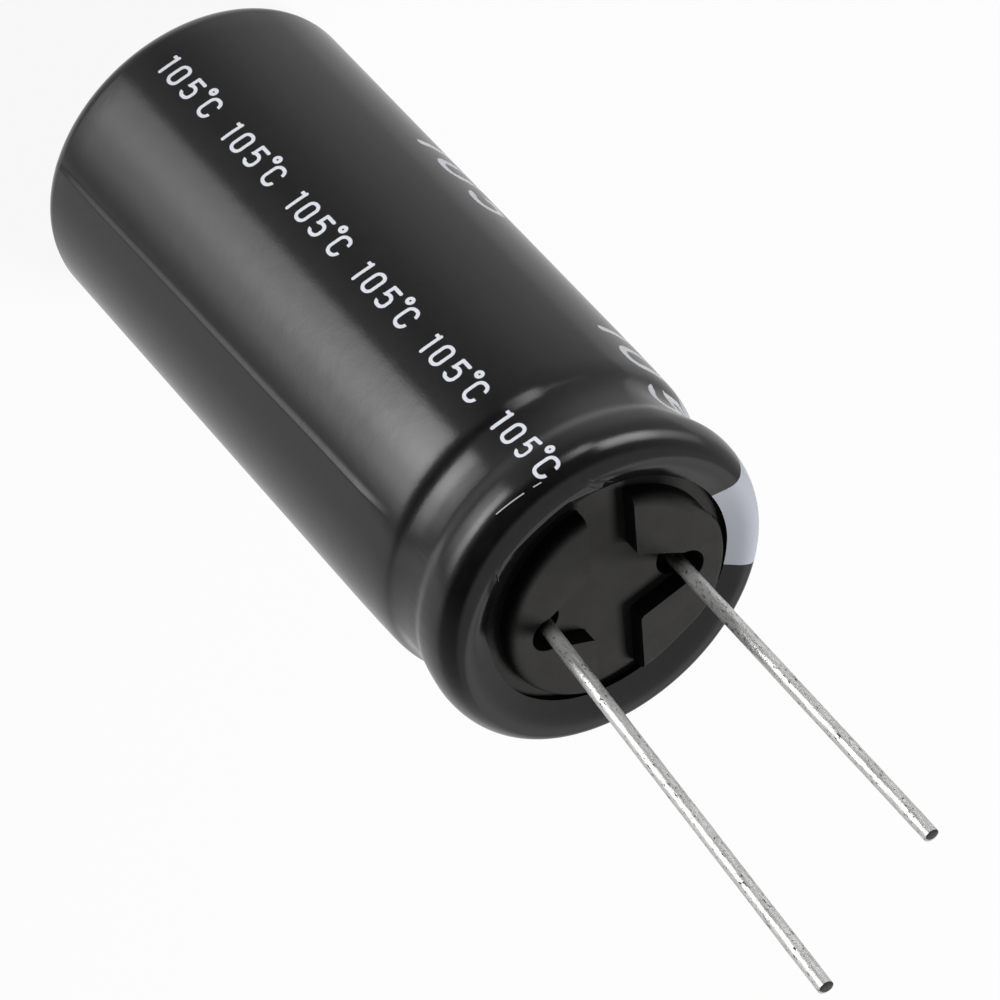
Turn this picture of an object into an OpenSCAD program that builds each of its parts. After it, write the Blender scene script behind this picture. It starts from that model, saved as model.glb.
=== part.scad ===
// Radial electrolytic capacitor: an aluminium can closed by a rubber bung, in a shrunk film sleeve.
// It stands on its closed end at the origin, with its two leads up along +Z, spaced along X.

/* [Can] */
// Outside diameter of the aluminium can
can_d = 18; // [17.5:0.5:22]
// Height of the sleeved body, from the closed end to the top of the rolled rim
body_h = 40.3; // [30:0.1:60]
// Thickness of the can's drawn wall
can_wall = 0.4; // [0.3:0.05:0.5]
// Thickness of the can's closed end
can_base = 0.6; // [0.4:0.05:1]
// Outer rounding of the closed end
base_round = 0.95; // [0.7:0.05:1.5]

/* [Vent] */
// Length of each score line across the closed end
vent_l = 11; // [6:0.5:12]
// Width of a score line
vent_w = 0.4; // [0.2:0.05:0.6]
// Depth of a score line
vent_depth = 0.3; // [0.1:0.05:0.35]

/* [Bead] */
// Distance from the top of the body down to the middle of the bead
bead_down = 3.8; // [3.5:0.1:5]
// How far the can and its film dip at the bead
bead_dip = 0.52; // [0.3:0.02:0.8]
// Extra depth of the narrow groove under the film
bead_roll = 0.7; // [0.4:0.05:0.9]
// Half width of the narrow groove under the film
bead_roll_w = 1.3; // [1:0.05:1.6]
// Length of the slope from the body down into the bead
bead_below = 3.4; // [2.5:0.1:4.5]

/* [Rolled rim] */
// How much the rim's radius is larger than the can's
rim_swell = 0.03; // [0:0.01:0.1]
// Width of the rim outside its crest
rim_out = 0.86; // [0.7:0.02:1.2]
// Width of the curl inside its crest, if it were a full quarter turn
rim_in = 1.45; // [1.2:0.05:1.7]
// Height of the rim's rounding
rim_rise = 1.38; // [1.2:0.02:1.6]
// Angle at which the curled metal ends
rim_end = 136; // [120:1:140]

/* [Sleeve] */
// Thickness of the shrunk film
film_t = 0.15; // [0.1:0.01:0.25]
// How far the film reaches in over the closed end
film_base_lap = 2; // [1.5:0.1:2.5]
// Angle round the rim at which the film ends
film_end = 142; // [130:1:145]

/* [Bung] */
// Thickness of the rubber below its pads
bung_t = 6.1; // [5.9:0.1:8]
// Height of the raised pads
pad_h = 1; // [0.5:0.05:1.2]
// Height of the pads above the top of the rim
pad_proud = 0.15; // [0:0.05:0.5]
// Width of the moat between the film's edge and the pads
moat_w = 0.9; // [0.6:0.05:1.2]
// Width of the straight channel between the pads
channel_w = 2.6; // [2:0.1:3.2]
// Width of the side channels where they leave the straight one
branch_w = 4.3; // [3.4:0.1:5]
// Radius of the pocket round each lead
pocket_r = 1.32; // [1.2:0.02:1.5]
// Depth of the pockets below the top of the pads
pocket_depth = 1.9; // [1.4:0.1:2.2]
// Rounding of the pads' inner corners
pad_round = 0.3; // [0.1:0.05:0.5]
// Rounding of the pads' outer top edge
pad_edge = 0.5; // [0.2:0.05:0.6]
// Chamfer round the bung's inner end
bung_chamfer = 0.5; // [0.2:0.1:0.8]

/* [Leads] */
// Distance between the leads where they leave the bung
lead_pitch = 7.5; // [7:0.1:7.6]
// How far the leads and the bung's pattern sit off the can's axis, towards the positive lead
lead_shift = -0.2; // [-0.3:0.05:0.3]
// Diameter of the wire
lead_d = 0.8; // [0.6:0.05:1]
// Length of the positive lead above the top of the pads
lead_positive_l = 26.6; // [15:0.1:40]
// Length of the negative lead above the top of the pads
lead_negative_l = 21.6; // [15:0.1:40]
// How far the positive lead leans outwards
lead_lean = 4; // [0:0.5:8]
// Chamfer of the cut ends
lead_chamfer = 0.08; // [0.05:0.01:0.2]

/* [Terminals] */
// Diameter of the aluminium stem
stem_d = 2; // [1.6:0.1:2.2]
// Length of the cone between the stem and the weld
stem_cone = 0.5; // [0.3:0.1:0.8]
// Diameter of the stem and the wire at their weld
weld_d = 1; // [0.9:0.05:1.2]
// Height of the wire's flared foot above the pocket's floor
weld_rise = 0.2; // [0.1:0.05:0.4]
// Width of the flattened tab
tab_w = 2.6; // [2:0.1:3]
// Thickness of the flattened tab
tab_t = 0.3; // [0.2:0.05:0.4]
// Length of the shoulder between the stem and the tab
tab_shoulder = 1; // [0.8:0.1:1.5]
// Length of the tab inside the winding
tab_l = 24; // [15:1:26]

/* [Winding] */
// Gap between the taped winding and the can's wall
winding_gap = 0.5; // [0.3:0.05:0.8]
// Space between the winding and the bung
head_room = 2.2; // [1.8:0.1:4]
// Diameter of the hole that the mandrel leaves
mandrel_d = 3; // [2:0.1:4]
// Number of turns marked on the ends
turns = 8; // [4:1:10]
// Depth of the steps between the turns
turn_step = 0.25; // [0.1:0.05:0.4]
// Thickness of the tape
tape_t = 0.1; // [0.08:0.01:0.15]
// How far the tape stays back from the winding's ends
tape_margin = 1.5; // [0.5:0.1:3]
// Angle over which the tape's end laps over its start
tape_lap = 40; // [20:5:60]

/* [Hidden] */
$fn = 96;
// Gap between pieces that press on each other
seat_gap = 0.02;
// Steps along the bead and round each quarter of a rounding
bead_steps = 22;
round_steps = 10;
// Small overlap that makes cuts clean
cut = 0.5;

can_r = can_d / 2;
rim_r = can_r + rim_swell - rim_out;
rim_z = body_h - film_t - rim_rise;
bead_z = body_h - bead_down;
bead_above = rim_z - bead_z;
base_z = film_t + seat_gap;
film_edge_r = rim_point(film_end, film_t)[0];

pad_top = body_h + pad_proud;
floor_z = pad_top - pad_h;
pocket_z = pad_top - pocket_depth;
bung_z = floor_z - bung_t;
pad_r = film_edge_r - moat_w;

stem_r = stem_d / 2;
stem_z = bung_z - tab_shoulder;
weld_z = pocket_z - seat_gap - lead_d;
flare_h = pocket_z + weld_rise - weld_z;
winding_z = base_z + can_base + seat_gap;
winding_top = bung_z - head_room;
winding_r = can_r - can_wall - winding_gap - 2 * tape_t;

// A point of the rim's rounding, on the can's outside when skin is 0
function rim_point(angle, skin) =
    [rim_r + ((angle < 90 ? rim_out : rim_in) + skin) * cos(angle), rim_z + (rim_rise + skin) * sin(angle)];
function rim_arc(from, to, skin) =
    [for (i = [0:2 * round_steps]) rim_point(from + (to - from) * i / (2 * round_steps), skin)];

// A quarter round from the flat closed end up into the wall
function base_arc(skin) =
    let (radius = max(base_round + skin, 0.05))
    [for (i = [0:round_steps]) let (angle = -90 + 90 * i / round_steps)
        [can_r - base_round + radius * cos(angle), base_z + base_round + radius * sin(angle)]];

// Radius of the can's outside at height z: the wide dip that the film follows, then the narrow groove
function swell(share) = share * share * (3 - 2 * share);
function dip_radius(z) =
    z < bead_z ? can_r - bead_dip * (1 - swell(min((bead_z - z) / bead_below, 1)))
               : can_r + rim_swell - (bead_dip + rim_swell) * (1 - swell(min((z - bead_z) / bead_above, 1)));
function roll_radius(z) = dip_radius(z) - bead_roll * (1 - swell(min(abs(z - bead_z) / bead_roll_w, 1)));
bead_heights = [for (i = [0:bead_steps]) bead_z - bead_below + (rim_z - bead_z + bead_below) * i / bead_steps];
function film_wall(skin) = [for (z = bead_heights) [dip_radius(z) + skin, z]];
function can_wall_line(skin, from) = [for (z = bead_heights) if (z > from) [roll_radius(z) + skin, z]];

// Place along X of the lead on one side, 1 for the positive and -1 for the negative one
function lead_x(side) = lead_shift + side * lead_pitch / 2;

function reversed(list) = [for (i = [len(list) - 1:-1:0]) list[i]];

// Arc that rounds the corner b between its neighbours a and c
function unit(v) = v / norm(v);
function corner_arc(a, b, c, radius) =
    let (to_a = unit(a - b), to_c = unit(c - b), half = acos(to_a * to_c) / 2,
         centre = b + unit(to_a + to_c) * radius / sin(half),
         first = b + to_a * radius / tan(half) - centre, last = b + to_c * radius / tan(half) - centre)
    [for (i = [0:round_steps]) centre + radius * unit(first * (1 - i / round_steps) + last * i / round_steps)];

module sleeve() {
    inner_edge = can_r - base_round - film_base_lap;
    color("#26262a")
        rotate_extrude()
            polygon(concat(
                [[inner_edge, base_z - film_t - seat_gap]], base_arc(film_t + seat_gap),
                film_wall(film_t + seat_gap), rim_arc(0, film_end, film_t),
                reversed(rim_arc(0, film_end, seat_gap)), reversed(film_wall(seat_gap)),
                reversed(base_arc(seat_gap)), [[inner_edge, base_z - seat_gap]]));
}

module vent_score() {
    for (turn = [0, 90])
        rotate(turn)
            translate([0, 0, base_z])
                rotate([0, 90, 0])
                    linear_extrude(vent_l, center = true)
                        polygon([[0.01, -vent_w / 2], [0.01, vent_w / 2], [-vent_depth, 0]]);
}

module can() {
    color("#c8ccd0")
        difference() {
            rotate_extrude()
                polygon(concat(
                    [[0, base_z]], base_arc(0), can_wall_line(0, 0), rim_arc(0, rim_end, 0),
                    reversed(rim_arc(0, rim_end, -can_wall)), reversed(can_wall_line(-can_wall, 0)),
                    [[can_r - can_wall, base_z + can_base], [0, base_z + can_base]]));
            vent_score();
        }
}

// Half of the pattern on the bung: the pads beside one lead, with the side channel and pocket cut out
module pad_pair() {
    mouth = channel_w / 2;
    pocket_x = lead_pitch / 2;
    lower = corner_arc([mouth, -pad_r], [mouth, -branch_w / 2], [pocket_x, -pocket_r], pad_round);
    difference() {
        intersection() {
            circle(pad_r);
            polygon(concat(
                [[2 * pad_r, -pad_r], [mouth, -pad_r]], lower, [[pocket_x, -pocket_r], [pocket_x, pocket_r]],
                [for (point = reversed(lower)) [point[0], -point[1]]], [[mouth, pad_r], [2 * pad_r, pad_r]]));
        }
        translate([pocket_x, 0])
            circle(pocket_r);
    }
}

// The disc that the pads are cut from, with its top edge rounded
module pad_disc() {
    rounding = [for (i = [0:round_steps]) let (angle = 90 * i / round_steps)
        [pad_r - pad_edge + pad_edge * cos(angle), pad_top - pad_edge + pad_edge * sin(angle)]];
    rotate_extrude()
        polygon(concat([[0, floor_z - cut], [pad_r, floor_z - cut]], rounding, [[0, pad_top]]));
}

// Flared foot of a wire, up from its weld to the terminal's stem
module wire_foot(gap) {
    cylinder(r1 = weld_d / 2 + gap, r2 = lead_d / 2 + gap, h = flare_h);
}

module bung() {
    wall = -can_wall - seat_gap;
    rubber_r = roll_radius(bung_z + bung_chamfer) + wall;
    color("#3a3734")
        difference() {
            union() {
                rotate_extrude()
                    polygon(concat(
                        [[0, bung_z], [rubber_r - bung_chamfer, bung_z], [rubber_r, bung_z + bung_chamfer]],
                        can_wall_line(wall, bung_z + bung_chamfer),
                        [for (point = rim_arc(0, rim_end, wall)) [point[0], min(point[1], floor_z)]],
                        [[film_edge_r, floor_z], [0, floor_z]]));
                translate([lead_shift, 0, 0])
                    intersection() {
                        for (side = [0, 1])
                            mirror([side, 0, 0])
                                translate([0, 0, floor_z - cut])
                                    linear_extrude(pad_h + 2 * cut)
                                        pad_pair();
                        pad_disc();
                    }
            }
            for (side = [-1, 1])
                translate([lead_x(side), 0, 0]) {
                    translate([0, 0, pocket_z])
                        cylinder(r = pocket_r, h = pocket_depth + cut);
                    translate([0, 0, weld_z])
                        wire_foot(seat_gap);
                    translate([0, 0, bung_z - cut])
                        cylinder(r = stem_r + seat_gap, h = weld_z + seat_gap - bung_z + cut);
                }
        }
}

module winding() {
    turn_pitch = (winding_r - mandrel_d / 2) / turns;
    slot_gap = 2 * seat_gap;
    color("#b9ad96")
        difference() {
            rotate_extrude()
                difference() {
                    translate([mandrel_d / 2, winding_z])
                        square([winding_r - mandrel_d / 2, winding_top - winding_z]);
                    for (turn = [1:2:turns - 1], end = [winding_z, winding_top])
                        translate([mandrel_d / 2 + turn * turn_pitch, end - turn_step])
                            square([turn_pitch / 2, 2 * turn_step]);
                }
            for (side = [-1, 1])
                translate([lead_x(side), 0, winding_top - tab_l / 2 + cut])
                    cube([tab_t + slot_gap, tab_w + slot_gap, tab_l + slot_gap + 2 * cut], center = true);
        }
}

module winding_tape() {
    tape_z = winding_z + tape_margin;
    tape_h = winding_top - winding_z - 2 * tape_margin;
    inner_r = winding_r + seat_gap;
    color("#c9a24a")
        translate([0, 0, tape_z])
            linear_extrude(tape_h)
                union() {
                    difference() {
                        circle(inner_r + tape_t);
                        circle(inner_r);
                    }
                    intersection() {
                        difference() {
                            circle(inner_r + 2 * tape_t);
                            circle(inner_r);
                        }
                        polygon([[0, 0], [0, 2 * can_r], 2 * can_r * [sin(tape_lap), cos(tape_lap)]]);
                    }
                }
}

// Stem, cone and tab of one terminal, with its stem's axis on Z
module terminal() {
    tab_bottom = winding_top - tab_l;
    color("#d5d8db") {
        translate([0, 0, stem_z])
            cylinder(r = stem_r, h = weld_z - stem_cone - stem_z);
        translate([0, 0, weld_z - stem_cone])
            cylinder(r1 = stem_r, r2 = weld_d / 2, h = stem_cone);
        translate([-tab_t / 2, -tab_w / 2, tab_bottom])
            cube([tab_t, tab_w, stem_z - tab_bottom]);
        intersection() {
            translate([0, 0, stem_z - tab_shoulder])
                cylinder(r = stem_r, h = tab_shoulder);
            translate([0, 0, stem_z])
                rotate([90, 0, 0])
                    linear_extrude(stem_d, center = true)
                        polygon([[-stem_r, 0], [stem_r, 0], [tab_t / 2, -tab_shoulder], [-tab_t / 2, -tab_shoulder]]);
        }
    }
}

module terminal_positive() {
    translate([lead_x(1), 0, 0])
        terminal();
}

module terminal_negative() {
    translate([lead_x(-1), 0, 0])
        terminal();
}

// Straight wire from the origin up, with its cut end chamfered
module wire(length) {
    radius = lead_d / 2;
    cylinder(r = radius, h = length - lead_chamfer);
    translate([0, 0, length - lead_chamfer])
        cylinder(r1 = radius, r2 = radius - lead_chamfer, h = lead_chamfer);
}

// Everything above or below the plane z = 0 that a lead can reach
module half_space(side) {
    reach = lead_positive_l + lead_negative_l + bung_t;
    translate([0, 0, side * reach])
        cube(2 * reach, center = true);
}

// The wire stands straight on its welded foot and leans from the floor of the channels up.
// At the bend its two lengths meet on the plane that halves their angle.
module lead(length, lean) {
    below = floor_z - weld_z;
    color("#b4b8bc")
        translate([0, 0, floor_z])
            rotate([0, lean / 2, 0]) {
                intersection() {
                    rotate([0, -lean / 2, 0])
                        translate([0, 0, -below]) {
                            wire_foot(0);
                            translate([0, 0, flare_h])
                                cylinder(r = lead_d / 2, h = below - flare_h + lead_d);
                        }
                    half_space(-1);
                }
                intersection() {
                    rotate([0, lean / 2, 0])
                        translate([0, 0, -lead_d])
                            wire((length + pad_h) / cos(lean) + lead_d);
                    half_space(1);
                }
            }
}

module lead_positive() {
    translate([lead_x(1), 0, 0])
        lead(lead_positive_l, lead_lean);
}

module lead_negative() {
    translate([lead_x(-1), 0, 0])
        lead(lead_negative_l, 0);
}

sleeve();
can();
bung();
winding();
winding_tape();
terminal_positive();
terminal_negative();
lead_positive();
lead_negative();
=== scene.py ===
import math

import bpy
import numpy as np
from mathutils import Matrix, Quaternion, Vector, noise


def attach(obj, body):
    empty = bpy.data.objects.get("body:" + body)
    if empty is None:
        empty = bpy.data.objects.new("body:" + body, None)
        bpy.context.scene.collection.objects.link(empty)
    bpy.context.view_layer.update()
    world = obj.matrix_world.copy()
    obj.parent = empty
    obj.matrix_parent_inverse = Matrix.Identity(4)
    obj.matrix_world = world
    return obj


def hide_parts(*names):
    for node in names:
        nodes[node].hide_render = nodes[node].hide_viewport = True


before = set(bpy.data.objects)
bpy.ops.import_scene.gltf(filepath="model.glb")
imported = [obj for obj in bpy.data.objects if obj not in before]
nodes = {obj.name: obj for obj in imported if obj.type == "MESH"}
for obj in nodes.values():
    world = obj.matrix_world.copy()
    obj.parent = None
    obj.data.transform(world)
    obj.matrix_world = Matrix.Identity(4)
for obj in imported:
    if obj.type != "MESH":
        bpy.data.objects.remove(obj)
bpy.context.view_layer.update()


# Winding: two etched aluminium foils with soaked paper between them, rolled tight on a mandrel.
# It fills the can below the bung, and its ends show the foil's edges between the papers.
class Signal:
    """A socket of a material's nodes; each operator adds the Math node for it."""

    def __init__(self, tree, socket=None):
        self.tree = tree
        self.socket = socket

    def node(self, kind, settings, sockets, output=0):
        """Adds a node: its settings first, then the values or links of its sockets."""
        new = self.tree.nodes.new("ShaderNode" + kind)
        for name, value in settings.items():
            if name == "stops":
                ramp = new.color_ramp.elements
                ramp[1].position = value[-1][0]
                ramp[0].position = value[0][0]
                for place, colour in value[1:-1]:
                    ramp.new(place)
                for stop, (place, colour) in zip(ramp, value):
                    rgb = colour if isinstance(colour, tuple) else (colour, colour, colour)
                    stop.color = (*rgb, 1)
            else:
                setattr(new, name, value)
        for name, value in sockets.items():
            if isinstance(value, Signal):
                self.tree.links.new(value.socket, new.inputs[name])
            else:
                new.inputs[name].default_value = value
        return Signal(self.tree, new.outputs[output])

    def math(self, operation, *others):
        return self.node("Math", {"operation": operation}, dict(enumerate((self, *others))))

    def vector(self, operation, other):
        return self.node("VectorMath", {"operation": operation}, {0: self, 1: other})

    def scaled(self, factor):
        return self.node("VectorMath", {"operation": "SCALE"}, {0: self, "Scale": factor})

    def length(self):
        return self.node("VectorMath", {"operation": "LENGTH"}, {0: self}, 1)

    def ramp(self, low, high):
        """0 below low, 1 above high, and straight between them."""
        sockets = {"Value": self, "From Min": low, "From Max": high}
        return self.node("MapRange", {"clamp": True}, sockets)

    def blend(self, first, second):
        """The first colour where the signal is 0, and the second where it is 1."""
        return self.node("Mix", {"data_type": "RGBA"}, {0: self, 6: first, 7: second}, 2)

    def axis(self, name):
        return self.node("SeparateXYZ", {}, {0: self}, "XYZ".index(name))

    def noise(self, scale, detail=2.0):
        return self.node("TexNoise", {}, {"Vector": self, "Scale": scale, "Detail": detail})

    def bump(self, depth):
        """A normal from a height of the signal times depth, in metres."""
        return self.node("Bump", {}, {"Height": self, "Distance": depth})

    def __add__(self, other):
        return self.math("ADD", other)

    def __sub__(self, other):
        return self.math("SUBTRACT", other)

    def __rsub__(self, other):
        return self.node("Math", {"operation": "SUBTRACT"}, {0: other, 1: self})

    def __mul__(self, other):
        return self.math("MULTIPLY", other)

    def __truediv__(self, other):
        return self.math("DIVIDE", other)

    def __lt__(self, other):
        return self.math("LESS_THAN", other)

    def __gt__(self, other):
        return self.math("GREATER_THAN", other)

    def __abs__(self):
        return self.math("ABSOLUTE")

    __radd__ = __add__
    __rmul__ = __mul__


def new_finish(name, sockets):
    """A material with one Principled surface, its plain sockets set; place is in millimetres."""
    material = bpy.data.materials.new(name)
    material.use_nodes = True
    surface = material.node_tree.nodes["Principled BSDF"]
    for socket, value in sockets.items():
        surface.inputs[socket].default_value = value
    place = Signal(material.node_tree).node("TexCoord", {}, {}, 3).scaled(1000.0)
    return material, surface, place


def feed(surface, socket, signal):
    signal.tree.links.new(signal.socket, surface.inputs[socket])


def dress(piece, material):
    piece.data.materials.clear()
    piece.data.materials.append(material)


paper, surface, place = new_finish("soaked_paper", {"Roughness": 0.8})
flat_place = place.vector("MULTIPLY", (1, 1, 0))
layers = (flat_place.length() * 14).math("SINE").ramp(-0.2, 0.4)
stain = place.noise(0.6)
soaked = stain.blend((0.66, 0.6, 0.48, 1), (0.5, 0.45, 0.36, 1))
feed(surface, "Base Color", layers.blend((0.42, 0.36, 0.26, 1), soaked))
feed(surface, "Normal", (layers + place.noise(9.0) * 0.4).bump(0.00003))
dress(nodes["winding"], paper)


# Winding tape: thin yellow polyester film round the roll, its end lapped over its start.
# It holds the winding shut until it is in the can.
tape, surface, place = new_finish("polyester_tape", {"Roughness": 0.3, "Coat Weight": 0.3})
ripple = place.vector("MULTIPLY", (1, 1, 0.15)).noise(1.2)
feed(surface, "Base Color", ripple.blend((0.62, 0.42, 0.12, 1), (0.78, 0.58, 0.24, 1)))
feed(surface, "Normal", ripple.bump(0.00004))
dress(nodes["winding_tape"], tape)


# Terminals: pressed aluminium stems through the bung, flattened into tabs stitched to the foils.
# The wire is welded to each stem inside the rubber.
pressed, surface, place = new_finish("pressed_aluminium", {"Metallic": 1.0})
press_mark = place.vector("MULTIPLY", (1, 1, 0.2)).noise(3.0)
feed(surface, "Base Color", press_mark.blend((0.72, 0.73, 0.75, 1), (0.88, 0.88, 0.9, 1)))
feed(surface, "Roughness", press_mark.ramp(0.2, 0.8) * 0.25 + 0.3)
feed(surface, "Normal", press_mark.bump(0.00002))
for terminal in ("terminal_positive", "terminal_negative"):
    dress(nodes[terminal], pressed)


# Can: one cup drawn from aluminium, with faint lines along the draw and a scored vent in its closed end.
# After filling, its wall is rolled into the bung and its rim is curled over.
drawn, surface, place = new_finish("drawn_aluminium", {"Metallic": 1.0})
draw_line = place.vector("MULTIPLY", (1, 1, 0.04)).noise(7.0, 4.0)
feed(surface, "Base Color", draw_line.blend((0.7, 0.71, 0.72, 1), (0.86, 0.87, 0.88, 1)))
feed(surface, "Roughness", draw_line * 0.3 + 0.2)
feed(surface, "Normal", draw_line.bump(0.00001))
dress(nodes["can"], drawn)


# Bung: moulded rubber plug with four pads, the channels between them and a pocket round each wire.
# The can's bead and curled rim hold it, so that only its patterned end shows.
def select_only(piece):
    for other in bpy.context.selected_objects:
        other.select_set(False)
    piece.select_set(True)
    bpy.context.view_layer.objects.active = piece


def finish_with(piece, kind, settings):
    """Adds a modifier with its settings and applies it."""
    select_only(piece)
    modifier = piece.modifiers.new(kind.lower(), kind)
    for name, value in settings.items():
        setattr(modifier, name, value)
    bpy.ops.object.modifier_apply(modifier=modifier.name)


rubber_bung = bpy.data.objects.new("rubber_bung", nodes["bung"].data.copy())
bpy.context.scene.collection.objects.link(rubber_bung)
select_only(rubber_bung)
bpy.ops.object.mode_set(mode="EDIT")
bpy.ops.mesh.select_all(action="SELECT")
bpy.ops.mesh.remove_doubles(threshold=0.000002)
bpy.ops.mesh.dissolve_limited(angle_limit=math.radians(0.5))
bpy.ops.object.mode_set(mode="OBJECT")

# The pad beside the shorter wire bulges out a little, and the pockets close in round the wires.
PAD_FOOT_Z, PAD_EDGE_R, PAD_CREST_R = 0.03942, 0.00545, 0.00605
BULGE_BEARING, BULGE_HALF, BULGE_FADE, BULGE = 170, 46, 24, 0.0004
POCKET_FLOOR_Z, POCKET_R, POCKET_SHRINK, POCKET_RISE = 0.0385, 0.00137, 0.79, 0.00026
for vertex in rubber_bung.data.vertices:
    point = vertex.co
    reach = math.hypot(point.x, point.y)
    around = math.degrees(math.atan2(point.y, point.x)) % 360
    if point.z > PAD_FOOT_Z and PAD_EDGE_R < reach < PAD_CREST_R:
        share = min(1, max(0, (BULGE_HALF - abs(around - BULGE_BEARING)) / BULGE_FADE))
        stretch = 1 + BULGE * share * share * (3 - 2 * share) / reach
        point.x *= stretch
        point.y *= stretch
    for middle, shift in ((-0.00395, -0.0002), (0.00355, 0.0)):
        if point.z > POCKET_FLOOR_Z and math.hypot(point.x - middle, point.y) < POCKET_R:
            point.x = middle + (point.x - middle) * POCKET_SHRINK + shift
            point.y = point.y * POCKET_SHRINK + POCKET_RISE
bpy.ops.object.shade_smooth_by_angle(angle=math.radians(30))
finish_with(rubber_bung, "BEVEL", {"width": 0.00007, "segments": 2, "limit_method": "ANGLE",
                                   "angle_limit": math.radians(40), "harden_normals": True})
finish_with(rubber_bung, "TRIANGULATE", {"keep_custom_normals": True})

rubber, surface, place = new_finish("moulded_rubber", {"Specular IOR Level": 0.1})
grain = place.noise(9.0, 3.0)
cloud = place.noise(0.7)
facing = place.node("NewGeometry", {}, {}, 1)
from_axis = place.vector("MULTIPLY", (1, 1, 0)).length()
in_channel = 1 - abs(place.axis("X") + 0.2).ramp(1.15, 1.5)
# Painted shade and shadow: the rubber keeps its own colour only where it faces up above the pockets'
# floors. Its walls, its pockets and the moat by the front pads' outer edges, where the rim's shadow falls,
# are painted near black, but the channels between the pads are spared.
upward = facing.axis("Z").ramp(0.35, 0.95) * place.axis("Z").ramp(39.1, 39.4)
painted_rim_shadow = from_axis.ramp(5.45, 6.05) * (1 - place.axis("Y").ramp(-1, 1)) * place.axis("X").ramp(-5, -3.5)
out_of_painted_shade = upward * (1 - painted_rim_shadow).math("MAXIMUM", in_channel)
worn_rubber = (cloud * 0.7 + grain * 0.3).blend((0.037, 0.036, 0.035, 1), (0.06, 0.0585, 0.057, 1))
# The near-black colour is painted shade, and the cloudy colour is the rubber's own.
feed(surface, "Base Color", out_of_painted_shade.blend((0.008, 0.008, 0.008, 1), worn_rubber))
feed(surface, "Roughness", grain * 0.25 + 0.6)
feed(surface, "Normal", (grain + place.noise(26.0) * 0.5).bump(0.00003))
dress(rubber_bung, rubber)
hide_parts("bung")
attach(rubber_bung, "root")


# Leads: tinned copper wires, welded to the terminals and cut to two lengths with a shear.
# The positive one is the longer and leans outwards from the bung's channels up.
WIRE_R = 0.0004
FOOT_Z, FOOT_R, FOOT_TOP = 0.03773, 0.0005, 0.03875
BEND_Z = 0.03945
WIRE_SIDES, WIRE_STEPS = 28, 52
DENTS_PER_M, DENT_DEPTH = 900, 0.000012
SHEAR_ANGLE = math.radians(9)


def draw_wire(name, x, top, lean, tip_turn):
    """A wire from its flared foot up to a sheared tip that is top metres high."""
    bpy.ops.object.select_all(action="DESELECT")
    bpy.ops.mesh.primitive_circle_add(vertices=WIRE_SIDES, radius=FOOT_R, fill_type="NGON",
                                      location=(x, 0, FOOT_Z))
    wire = bpy.context.object
    wire.name = name
    bpy.ops.object.transform_apply(location=True)
    bpy.ops.object.mode_set(mode="EDIT")
    bpy.ops.mesh.select_all(action="SELECT")

    def pull(dx, dz, scale, turn):
        centre.x += dx
        centre.z += dz
        bpy.ops.mesh.extrude_region_move(TRANSFORM_OT_translate={"value": (dx, 0, dz)})
        bpy.ops.transform.resize(value=(scale, scale, scale), center_override=centre)
        if turn:
            bpy.ops.transform.rotate(value=turn, orient_axis="Y", center_override=centre)

    centre = Vector((x, 0, FOOT_Z))
    pull(0, FOOT_TOP - FOOT_Z, WIRE_R / FOOT_R, 0)
    pull(0, BEND_Z - FOOT_TOP, 1, -lean / 2)
    step_length = (top - BEND_Z) / math.cos(lean) / WIRE_STEPS
    for step in range(WIRE_STEPS):
        turn = -lean / 2 if step == 0 else 0
        pull(step_length * math.sin(lean), step_length * math.cos(lean), 1, turn)
    bpy.ops.transform.rotate(value=tip_turn, orient_axis="X", center_override=centre)
    pull(0, 0.00005, 0.86, 0)
    pull(0, 0.00003, 0.6, 0)
    bpy.ops.object.mode_set(mode="OBJECT")
    for vertex in wire.data.vertices:
        if vertex.co.z > BEND_Z:
            push = noise.noise(vertex.co * DENTS_PER_M) * DENT_DEPTH
            axis_x = x + (vertex.co.z - BEND_Z) * math.tan(lean)
            out = Vector((vertex.co.x - axis_x, vertex.co.y, 0))
            vertex.co += out.normalized() * push
    select_only(wire)
    bpy.ops.object.mode_set(mode="EDIT")
    bpy.ops.mesh.select_all(action="SELECT")
    bpy.ops.mesh.normals_make_consistent(inside=False)
    bpy.ops.object.mode_set(mode="OBJECT")
    bpy.ops.object.shade_smooth_by_angle(angle=math.radians(35))
    return wire


tinned, surface, place = new_finish("tinned_copper", {"Metallic": 0.7})
height = place.axis("Z")
streak = place.vector("MULTIPLY", (1, 1, 0.12)).noise(7.0, 3.0)
scuff = place.vector("MULTIPLY", (1, 1, 0.5)).noise(7.5, 3.0).ramp(0.6, 0.68)
# Painted shade: the wire darkens towards its foot, down in its pocket.
painted_pocket_shade = (1 - height.ramp(40.2, 41.6)) * 0.85
long_tip, short_tip = height > 66.93, (height > 62.0) * (place.axis("X") < 0)
cut_face = long_tip + short_tip
bright = streak.blend((0.62, 0.62, 0.61, 1), (0.88, 0.88, 0.87, 1))
# Dark marks: real specks and the cut tips, together with the painted shade at the foot.
marks_and_painted_shade = scuff.math("MAXIMUM", cut_face).math("MAXIMUM", painted_pocket_shade)
feed(surface, "Base Color", marks_and_painted_shade.blend(bright, (0.07, 0.065, 0.06, 1)))
feed(surface, "Roughness", streak * 0.3 + 0.15)
feed(surface, "Normal", (streak + place.noise(6.0) * 0.6).bump(0.00002))

# Each lead's place in the bung and its tip's height, in metres, and its lean, in degrees
leads = (("lead_positive", 0.00355, 0.0669, 4), ("lead_negative", -0.00395, 0.06195, 0.5))
for name, x, top, lean in leads:
    wire = draw_wire("wire_" + name[5:], x, top, math.radians(lean), SHEAR_ANGLE)
    dress(wire, tinned)
    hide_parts(name)
    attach(wire, "root")


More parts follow.
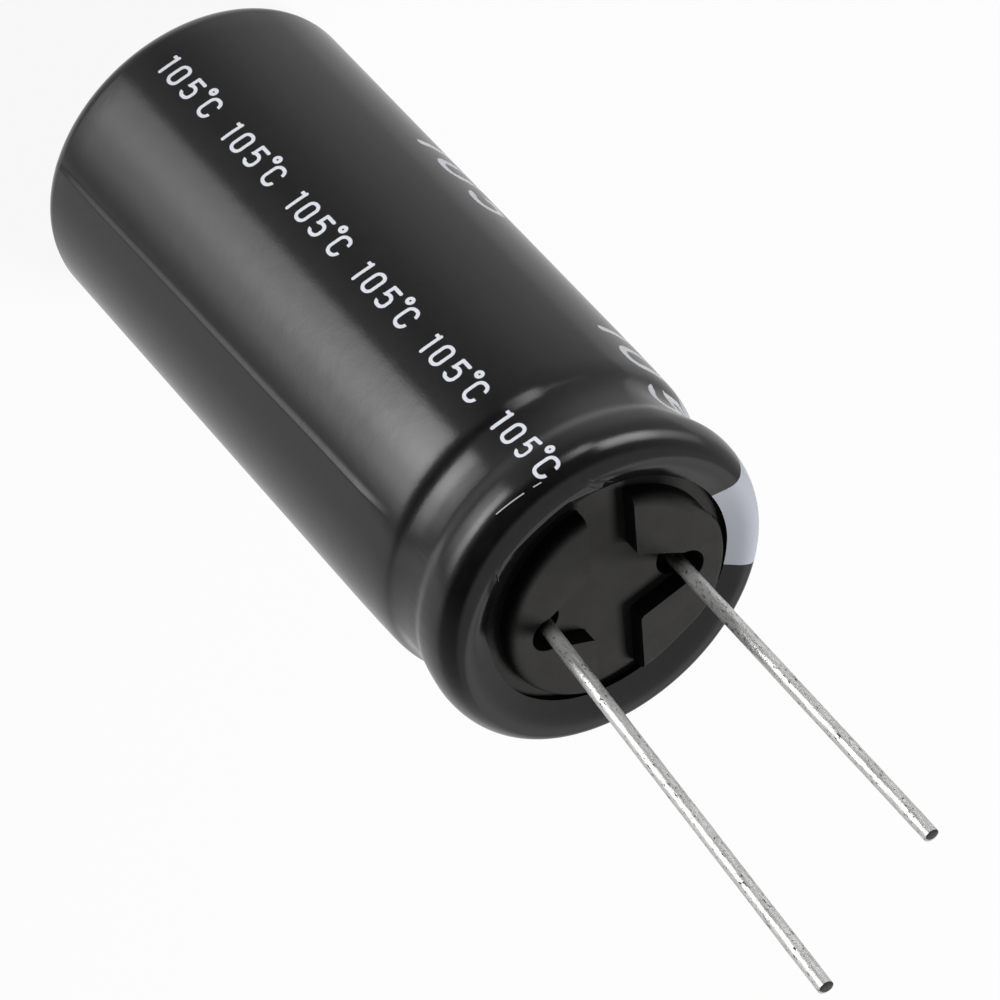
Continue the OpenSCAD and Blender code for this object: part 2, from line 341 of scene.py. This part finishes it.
# Sleeve: black printed film, shrunk over the can by heat from its closed end's edge over the rolled rim.
# It dips into the bead, keeps one long crease from its folded tube, and stands up in one place.
# Its sizes are in millimetres and degrees, and its points become metres once they are in place.
SLICES = 288
CREASE_LINE = -27.5
BODY_R, CREST_R, EDGE_R = 9.17, 8.17, 6.9
STRAIGHT_LOW, STRAIGHT_HIGH = 2.5, 28.5
FOOT_ROUND, RIM_Z, RIM_HEIGHT = 1.12, 38.4, 1.9
crease_heights = (0, 3, 6, 10, 16, 22, 27, 31, 34.4, 35.3, 36.8, 39, 41)
crease_angles = (-24.4, -24.5, -24.8, -25.4, -26.1, -26.8, -27.7,
                 -28.0, -28.8, -29.4, -35.3, -38.8, -38.8)


def swell(share):
    return share * share * (3 - 2 * share)


# How steeply the film falls inwards, in degrees, by height: over the bead's lip,
# along its floor and out again.
slope_heights = (29, 31, 33, 33.4, 33.7, 33.95, 34.2, 34.4, 34.6, 34.8, 35.1, 35.4, 35.7, 36, 36.4,
                 36.7, 36.95, 37.15, 37.35, 37.6, 37.8, 38, 38.2, 38.4)
slopes = (0, 0.5, 1.5, 3, 4.3, 6, 9.5, 11, 8.5, 5.2, 3, 1.2, -0.5, -2.2, -3.6,
          -4.8, -11, -15, -12, -6.5, -4.4, -3.4, -1.8, 0)
bead_z = np.concatenate([np.linspace(29, 32.6, 10), np.linspace(33, 38.4, 55)])
fall = np.tan(np.radians(np.interp(bead_z, slope_heights, slopes)))
bead_r = BODY_R - np.concatenate([[0], np.cumsum((fall[1:] + fall[:-1]) / 2 * np.diff(bead_z))])
rim_width = bead_r[-1] - CREST_R
foot_arc = np.radians(np.linspace(-90, 0, 12))
rim_arc = np.radians(np.linspace(5, 90, 18))

profile = [(6.05, 0.0), (6.7, 0.0), (7.4, 0.0)]
profile += [(BODY_R - FOOT_ROUND + FOOT_ROUND * math.cos(a), FOOT_ROUND + FOOT_ROUND * math.sin(a))
            for a in foot_arc]
profile += [(BODY_R, z) for z in np.linspace(STRAIGHT_LOW, STRAIGHT_HIGH, 14)]
profile += list(zip(bead_r, bead_z))
profile += [(CREST_R + rim_width * math.cos(a), RIM_Z + RIM_HEIGHT * math.sin(a)) for a in rim_arc]
CREST = len(profile) - 1
profile += [(8.07, 40.298), (7.95, 40.285), (7.8, 40.25), (7.62, 40.19), (7.45, 40.12),
            (7.25, 40.035), (7.05, 39.95), (EDGE_R, 39.885)]

# How far each point of the profile lies along the film, counted from the height 0 of the straight wall
along = [0.0]
for (r0, z0), (r1, z1) in zip(profile, profile[1:]):
    along.append(along[-1] + math.hypot(r1 - r0, z1 - z0))
straight_start = profile.index((BODY_R, STRAIGHT_LOW))
along = [length - along[straight_start] + STRAIGHT_LOW for length in along]

bpy.ops.object.select_all(action="DESELECT")
bpy.ops.mesh.primitive_circle_add(vertices=SLICES, radius=profile[0][0] / 1000, location=(0, 0, 0))
film = bpy.context.object
film.name = "film_sleeve"
bpy.ops.object.mode_set(mode="EDIT")
bpy.ops.mesh.select_all(action="SELECT")
for (r0, z0), (r1, z1) in zip(profile, profile[1:]):
    bpy.ops.mesh.extrude_region_move(TRANSFORM_OT_translate={"value": (0, 0, (z1 - z0) / 1000)})
    bpy.ops.transform.resize(value=(r1 / r0, r1 / r0, 1), center_override=(0, 0, 0))
bpy.ops.object.mode_set(mode="OBJECT")

points = np.empty(len(film.data.vertices) * 3)
film.data.vertices.foreach_get("co", points)
points = points.reshape(-1, 3) * 1000
ring = np.arange(len(points)) // SLICES
turn = np.degrees(np.arctan2(points[:, 1], points[:, 0]))
radius = np.hypot(points[:, 0], points[:, 1])
level = points[:, 2].copy()

# The points of each ring crowd together at the crease, and the rings turn so that it follows the mesh.
CROWDED, TURNED, CROWDING = 24, 28, 1.6
off_crease = turn - CREASE_LINE
crowded_turn = CREASE_LINE + np.sign(off_crease) * CROWDED * (np.abs(off_crease) / CROWDED) ** CROWDING
turn = np.where(np.abs(off_crease) < CROWDED, crowded_turn, turn)
crease_turn = np.interp(level, crease_heights, crease_angles)
near_crease = np.clip(1 - np.abs(turn - CREASE_LINE) / TURNED, 0, 1)
turn = turn + (crease_turn - CREASE_LINE) * swell(near_crease)
from_crease = (turn - crease_turn) * math.pi / 180 * radius
fold_places = (-0.32, -0.26, -0.18, -0.08, 0, 0.06, 0.5, 0.9, 1.4, 2)
fold_rises = (0, 0.006, 0.027, 0.053, 0.072, 0.078, 0.043, 0.018, 0.004, 0)
crease_share = np.clip((level - 0.2) / 2, 0, 1) * np.clip((33.4 - level) / 2.6, 0, 1)
radius += np.interp(from_crease, fold_places, fold_rises) * crease_share

# Away from the crease's side the film is drawn further into the bead.
away_share = swell(np.clip((np.abs((turn + 235) % 360 - 180) - 62) / 22, 0, 1))
bead_share = swell(np.clip((level - 33.4) / 2.2, 0, 1)) * swell(np.clip((38.3 - level) / 1.6, 0, 1))
DEEPER_BEAD = 0.25
radius -= DEEPER_BEAD * away_share * bead_share * (ring < CREST)

# Past its crest the film runs down to an uneven edge.
inward = np.clip((CREST_R - radius) / (CREST_R - EDGE_R), 0, 1) * (ring > CREST)
edge_angles = (-180, -157, -127, -110, -98, -88, -40, -34, -18, -5, 7,
               27, 44, 62, 80, 100, 125, 140, 150, 157, 180)
edge_radii = (6.93, 6.88, 6.85, 6.96, 7.05, 7.15, 7.4, 7.33, 7.01, 6.73, 6.6,
              6.51, 6.48, 6.42, 6.36, 6.32, 6.32, 6.38, 6.68, 6.9, 6.93)
radius += inward * (np.interp(turn, edge_angles, edge_radii) - EDGE_R)

# Between two slanting folds it stands out flat, and its last strip drops to the rim's inner edge.
FOLD_WIDTH, FLAT_SHARE, TUCK_R = 3.5, 0.72, 6.93
FLAP_Z, FLAP_SAG, FLAP_DROP = 40.33, 0.09, 0.35
fold_low = -77.4 - 9.24 * (9.05 - radius)
fold_high = -44.1 + 4.9 * (8.74 - radius)
before_high = swell(np.clip((fold_high - turn) / FOLD_WIDTH, 0, 1))
past_low = swell(np.clip((turn - fold_low) / FOLD_WIDTH, 0, 1))
lift = before_high * past_low * (ring > CREST)
flap_angles = (-92, -85, -75, -64, -54, -47, -40)
flat_edge = np.interp(turn, flap_angles, (7.27, 7.43, 7.69, 7.65, 7.72, 7.83, 7.8))
flat = np.minimum(inward / FLAT_SHARE, 1)
drop = np.clip((inward - FLAT_SHARE) / (1 - FLAT_SHARE), 0, 1)
flap_radius = CREST_R - flat * (CREST_R - flat_edge) - drop * (flat_edge - TUCK_R)
flap_level = FLAP_Z - FLAP_SAG * flat * flat - FLAP_DROP * drop
radius += lift * (flap_radius - radius)
level += lift * (flap_level - level)

# The film covers the whole curled rim and never dips below its profile.
radius = np.where(ring == ring.max(), np.minimum(radius, TUCK_R), radius)
rim_r, rim_z = np.array(profile[:CREST - 1:-1]).T
level = np.where(ring > CREST, np.maximum(level, np.interp(radius, rim_r, rim_z)), level)

points[:, 0] = radius * np.cos(np.radians(turn))
points[:, 1] = radius * np.sin(np.radians(turn))
points[:, 2] = level
film.data.vertices.foreach_set("co", (points / 1000).ravel())

wrap = film.data.uv_layers.new(name="wrap")
corner = np.empty(len(film.data.loops), dtype=np.int32)
film.data.loops.foreach_get("vertex_index", corner)
across = (((turn - 60) % 360) / 360)[corner].reshape(-1, 4)
across = np.where((across.max(1, keepdims=True) - across > 0.5), across + 1, across).ravel()
wrap.data.foreach_set("uv", np.stack([across, np.array(along)[ring][corner] / 50], 1).ravel())
select_only(film)
bpy.ops.object.mode_set(mode="EDIT")
bpy.ops.mesh.select_all(action="SELECT")
bpy.ops.mesh.normals_make_consistent(inside=False)
bpy.ops.object.mode_set(mode="OBJECT")
finish_with(film, "SOLIDIFY", {"thickness": 0.00013, "offset": -1.0, "use_even_offset": True})
bpy.ops.object.shade_smooth_by_angle(angle=math.radians(40))

printed, surface, place = new_finish("printed_film", {"IOR": 1.5})
wrap_place = place.node("UVMap", {"uv_map": "wrap"}, {})
angle = wrap_place.axis("X") * 360 + 60
length = wrap_place.axis("Y") * 50

# The print: a small row of readings, three rows of numerals, one row of large ones and the light stripe.
# Its places are in degrees round the film and in millimetres along it. A row's scale sizes its numerals.
ROW_STEP, ROW_START, ROW_BASE = 14.6, 115, 127.0
MM_PER_DEGREE = BODY_R * math.pi / 180
reading = abs(angle - 283) < 7
rows = (angle > 114) * (angle < 159)
large = (angle > 207) * (angle < 231)
scale = reading + rows * 1.15 + large * 2.29 + 0.0001
pitch = reading * 6.4 + rows * 7.4 + large * 17
start = reading * 2.45 + rows * 6.0 + large * 12.4
own_row = ((angle - ROW_START) / ROW_STEP).math("FLOOR") * ROW_STEP + ROW_BASE
row_base = reading * 288.4 + large * 228 + rows * own_row
run = (length - start).math("FLOORED_MODULO", pitch) / scale
rise = (row_base - angle) * MM_PER_DEGREE / scale
spot = place.node("CombineXYZ", {}, {0: run, 1: rise, 2: 0.0})


def stroke(x, y, half_width, half_height, corner_radius):
    """Distance from the middle of a stroke that runs round a rounded box."""
    from_middle = spot.vector("SUBTRACT", (x, y, 0)).vector("ABSOLUTE", (0, 0, 0))
    inner = (half_width - corner_radius, half_height - corner_radius, 0)
    outside = from_middle.vector("SUBTRACT", inner).vector("MAXIMUM", (0, 0, 0)).length()
    return abs(outside - corner_radius)


def away(distance, x_low, x_high, y_low, y_high):
    """Takes a stroke away inside a box, to open a numeral's side."""
    inside = (run > x_low) * (run < x_high) * (rise > y_low) * (rise < y_high)
    return distance + inside


# The numerals, a degree ring and a C, each stroke by its middle, half its width and height, and its corners
one = stroke(0.32, 0.7, 0, 0.6, 0)
flag = stroke(0.18, 1.22, 0.12, 0, 0)
zero = stroke(1.325, 0.7, 0.33, 0.605, 0.3)
five_top = stroke(2.66, 1.305, 0.3, 0, 0)
five_side = stroke(2.37, 1.03, 0, 0.27, 0)
five_bowl = away(stroke(2.64, 0.47, 0.34, 0.375, 0.3), 2.1, 2.5, 0.28, 0.68)
degree = stroke(3.65, 1.42, 0.16, 0.16, 0.16) + (1 - reading)
letter = away(stroke(4.42, 0.7, 0.36, 0.605, 0.32), 4.6, 5.2, 0.42, 0.98) + (1 - reading)
nearest = one
for part in (flag, zero, five_top, five_side, five_bowl, degree, letter):
    nearest = nearest.math("MINIMUM", part)
rough_edge = place.noise(14.0) * 0.03
reading_lengths = reading * (length > 2.3) * (length < 40)
large_lengths = large * (length > 12) * (length < 38)
in_print = (reading_lengths + rows * (length > 5) + large_lengths).math("MINIMUM", 1.0)
STROKE_HALF, SOFT_EDGE = 0.085, 0.015
text = (STROKE_HALF - nearest + rough_edge).ramp(-SOFT_EDGE, SOFT_EDGE) * in_print
bar_length = abs((length - 5).math("FLOORED_MODULO", 8.0) - 1.6) < 1.6
bar = bar_length * (abs(angle - 185) < 2.5) * (length < 34)
stripe = (angle > 164) * (angle < 206) * (1 - bar)
ink = text.math("MAXIMUM", stripe)

mottle = place.noise(1.1, 4.0)
dust = place.noise(30.0)
black = mottle.blend((0.004, 0.004, 0.0042, 1), (0.009, 0.0085, 0.009, 1))
white = stripe.blend((0.78, 0.8, 0.86, 1), (0.52, 0.54, 0.6, 1))
# Painted glint: a thin pale streak in two dashes on the rim stands in for light glancing off a small fold
# of the film.
off_painted_glint = abs(length - 38.99 - (304.5 - angle) * 0.024)
painted_glint = (off_painted_glint < 0.03) * ((abs(angle - 299.4) < 5.2) + (abs(angle - 289.6) < 1.4))
feed(surface, "Base Color", painted_glint.blend(ink.blend(black, white), (0.55, 0.55, 0.56, 1)))
fine = place.noise(7.0, 3.0)
feed(surface, "Roughness", ink * 0.12 + mottle * 0.05 + 0.12)


# Two thin pressed lines where the film folds up from the rim, and upright wrinkles beside the crease.
def pressed_fold(fold_angle, degrees_per_mm):
    """A line that starts at its angle and slants as it runs inwards over the rim."""
    off_line = angle - fold_angle - (length - 40.07) * degrees_per_mm
    return 1 - (abs(off_line) * 0.14).ramp(0.0, 0.09)


pressed_line = (pressed_fold(315.9, 4.2) + pressed_fold(279.7, -8.2)) * (length > 40.4)
upright = place.node("CombineXYZ", {}, {0: angle * 0.9, 1: length * 0.25, 2: 0.0}).noise(1.0, 2.0)
beside_crease = angle.ramp(326, 334) * (1 - angle.ramp(350, 362))
on_lip = length.ramp(34.8, 36) * (1 - length.ramp(38.2, 39.4))
wrinkle = upright * beside_crease * on_lip
relief = mottle * 0.6 + fine * 0.25 + dust * 0.05 + wrinkle * 2.5 - pressed_line * 3.5
RELIEF_DEPTH = 0.000008
feed(surface, "Normal", relief.bump(RELIEF_DEPTH))
dress(film, printed)
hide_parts("sleeve")
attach(film, "root")


# Studio: a pale floor under the closed end, a soft lamp behind and a low one in front, in a white room.
# The room holds the soft box that the glossy film mirrors.
bpy.ops.object.select_all(action="DESELECT")
bpy.ops.mesh.primitive_plane_add(size=12, location=(0, 0, -0.00005))
floor = bpy.context.object
floor.name = "floor"
bpy.ops.object.mode_set(mode="EDIT")
bpy.ops.mesh.select_all(action="SELECT")
bpy.ops.mesh.subdivide(number_cuts=3)
bpy.ops.object.mode_set(mode="OBJECT")
bpy.ops.object.transform_apply(location=True)
floor.visible_glossy = False
pale = bpy.data.materials.new("pale_floor")
pale.use_nodes = True
tree = pale.node_tree
tree.nodes.clear()
WHITE_SHARE = 0.93
seen = Signal(tree).node("LightPath", {}, {}, 0)
plain = Signal(tree).node("BsdfDiffuse", {}, {"Color": (0.8, 0.8, 0.8, 1)})
glow = Signal(tree).node("Emission", {}, {"Color": (1, 1, 1, 1), "Strength": 1.0})
mixed = Signal(tree).node("MixShader", {}, {0: seen * WHITE_SHARE, 1: plain, 2: glow})
output = tree.nodes.new("ShaderNodeOutputMaterial")
tree.links.new(mixed.socket, output.inputs[0])
floor.data.materials.append(pale)

world = bpy.data.worlds.new("white_studio")
bpy.context.scene.world = world
world.use_nodes = True
world.cycles.sampling_method = "NONE"
tree = world.node_tree
direction = Signal(tree).node("TexCoord", {}, {}, 0)
east, north, up = (direction.axis(name) for name in "XYZ")
azimuth = north.math("ARCTAN2", east) * (180 / math.pi)
elevation = up.math("ARCSINE") * (180 / math.pi)
round_share = (azimuth + 180) / 360
FULL = 4


def by_bearing(values):
    """A brightness, as a share of FULL, by the bearing in degrees."""
    stops = [((degrees + 180) / 360, value / FULL) for degrees, value in values]
    return round_share.node("ValToRGB", {"stops": stops}, {"Fac": round_share})


# The room by its height: what lies below the floor's line, the walls, the wall's top and the ceiling
below = by_bearing([(-180, 0.65), (-160, 0.75), (-137, 0.75), (-121, 0.6), (-113, 0.5), (-105, 0.44),
                    (-89, 0.35), (-81, 0.4), (-70, 0.48), (-20, 0.5), (6, 0.5), (11, 0.7), (18, 0.82),
                    (26, 0.7), (34, 0.65), (180, 0.65)])
walls = by_bearing([(-180, 0.42), (-160, 0.42), (-139, 0.28), (-118, 0.15), (-100, 0.08), (-80, 0.02),
                    (-70, 0.006), (0, 0.006), (15, 0.12), (30, 0.23), (45, 0.3), (60, 0.42), (75, 0.7),
                    (90, 0.95), (100, 0.6), (110, 0.5), (180, 0.42)])
loft = by_bearing([(-180, 0.55), (80, 0.55), (100, 0.92), (128, 0.92), (145, 0.55), (180, 0.55)])
CEILING = 0.55 / FULL
near_side = 1 - round_share.ramp(90 / 360, 110 / 360)
below_height = 1.4 - elevation.ramp(-60, -47) * 0.4 - elevation.ramp(-47, -34) * 0.4 * near_side
over_floor = elevation.ramp(-28, -18)
overhead = elevation.ramp(20, 36)
zenith = elevation.ramp(44, 56)
above = loft * (1 - zenith) + zenith * CEILING
room = walls * (1 - overhead) + overhead * above
open_room = below * below_height * (1 - over_floor) + over_floor * room

# The soft box in front, brighter at its top, and two lamps that glint on the bead and the rim
box = by_bearing([(-180, 0), (-64, 0), (-58, 1.5), (-48, 1.9), (-40, 2.2), (-32, 2.0), (-23.5, 1.3),
                  (-15.4, 1.02), (-7, 0.48), (1, 0.1), (6, 0), (180, 0)])
brighter = elevation.ramp(-42.5, -40.4) * 0.5 + elevation.ramp(-40.4, -39.0) * 1.2 + 1.04
box_height = elevation.ramp(-50, -46) * (1 - elevation.ramp(-31, -28))
glint_near = by_bearing([(-180, 0), (-118, 0), (-112, 3.3), (-106, 3.3), (-99, 1.8), (-92, 0), (180, 0)])
glint_far = by_bearing([(-180, 0.3), (-170, 0.6), (-155, 1.4), (-142, 3.9), (-120, 3.9), (-113, 0),
                        (180, 0)])
near_height = elevation.ramp(-27, -23) * (1 - elevation.ramp(-16, -12))
far_height = elevation.ramp(-21, -16) * (1 - elevation.ramp(-9, 2))
glints = glint_near * near_height + glint_far * 1.3 * far_height
mirrored = (open_room + box * brighter * box_height + glints) * FULL

# The camera sees plain white, gloss mirrors the room, and all else is lit from the horizon.
camera_ray = Signal(tree).node("LightPath", {}, {}, 0)
glossy_ray = Signal(tree).node("LightPath", {}, {}, 3)
horizon = (1 - elevation.ramp(2, 10)) * 1.2 + 0.03
strength = camera_ray + (1 - camera_ray) * (glossy_ray * mirrored + (1 - glossy_ray) * horizon)
background = tree.nodes["Background"]
background.inputs["Color"].default_value = (1, 1, 1, 1)
tree.links.new(strength.socket, background.inputs["Strength"])

key_data = bpy.data.lights.new("key", "AREA")
key_data.shape = "DISK"
key_data.size = 0.12
key_data.energy = 0.9
key = bpy.data.objects.new("key", key_data)
KEY_REACH, KEY_BEARING, KEY_HEIGHT = 0.3, math.radians(140), math.radians(50)
key_aim = Vector((0, 0, 0.04))
key_side = Vector((math.cos(KEY_BEARING), math.sin(KEY_BEARING), 0)) * math.cos(KEY_HEIGHT)
key.location = key_aim + KEY_REACH * (key_side + Vector((0, 0, math.sin(KEY_HEIGHT))))
key.rotation_euler = (key.location - key_aim).to_track_quat("Z", "Y").to_euler()
key.visible_glossy = False
bpy.context.scene.collection.objects.link(key)

fill_data = bpy.data.lights.new("fill", "AREA")
fill_data.shape = "RECTANGLE"
fill_data.size = 0.36
fill_data.size_y = 0.034
fill_data.energy = 0.5
fill = bpy.data.objects.new("fill", fill_data)
FILL_REACH, FILL_BEARING, FILL_Z = 0.25, math.radians(-64), 0.018
fill.location = (FILL_REACH * math.cos(FILL_BEARING), FILL_REACH * math.sin(FILL_BEARING), FILL_Z)
fill.rotation_euler = (math.radians(90), 0, FILL_BEARING + math.radians(90))
fill.visible_glossy = False
bpy.context.scene.collection.objects.link(fill)


# Camera: a long lens above and beside the leads, rolled so that they point down to the right.
camera_place = Vector((0.10702, -0.21675, 0.22772))
camera_aim = Vector((0.00068, 0.00033, 0.03114))
camera_data = bpy.data.cameras.new("camera")
camera_data.lens = 228.3
camera_data.sensor_width = 36
camera_data.clip_start = 0.01
camera = bpy.data.objects.new("camera", camera_data)
camera.location = camera_place
camera.rotation_mode = "QUATERNION"
roll = Quaternion((0, 0, 1), math.radians(137.26))
camera.rotation_quaternion = (camera_aim - camera_place).to_track_quat("-Z", "Y") @ roll
bpy.context.scene.collection.objects.link(camera)
bpy.context.scene.camera = camera
bpy.context.scene.view_settings.view_transform = "Standard"
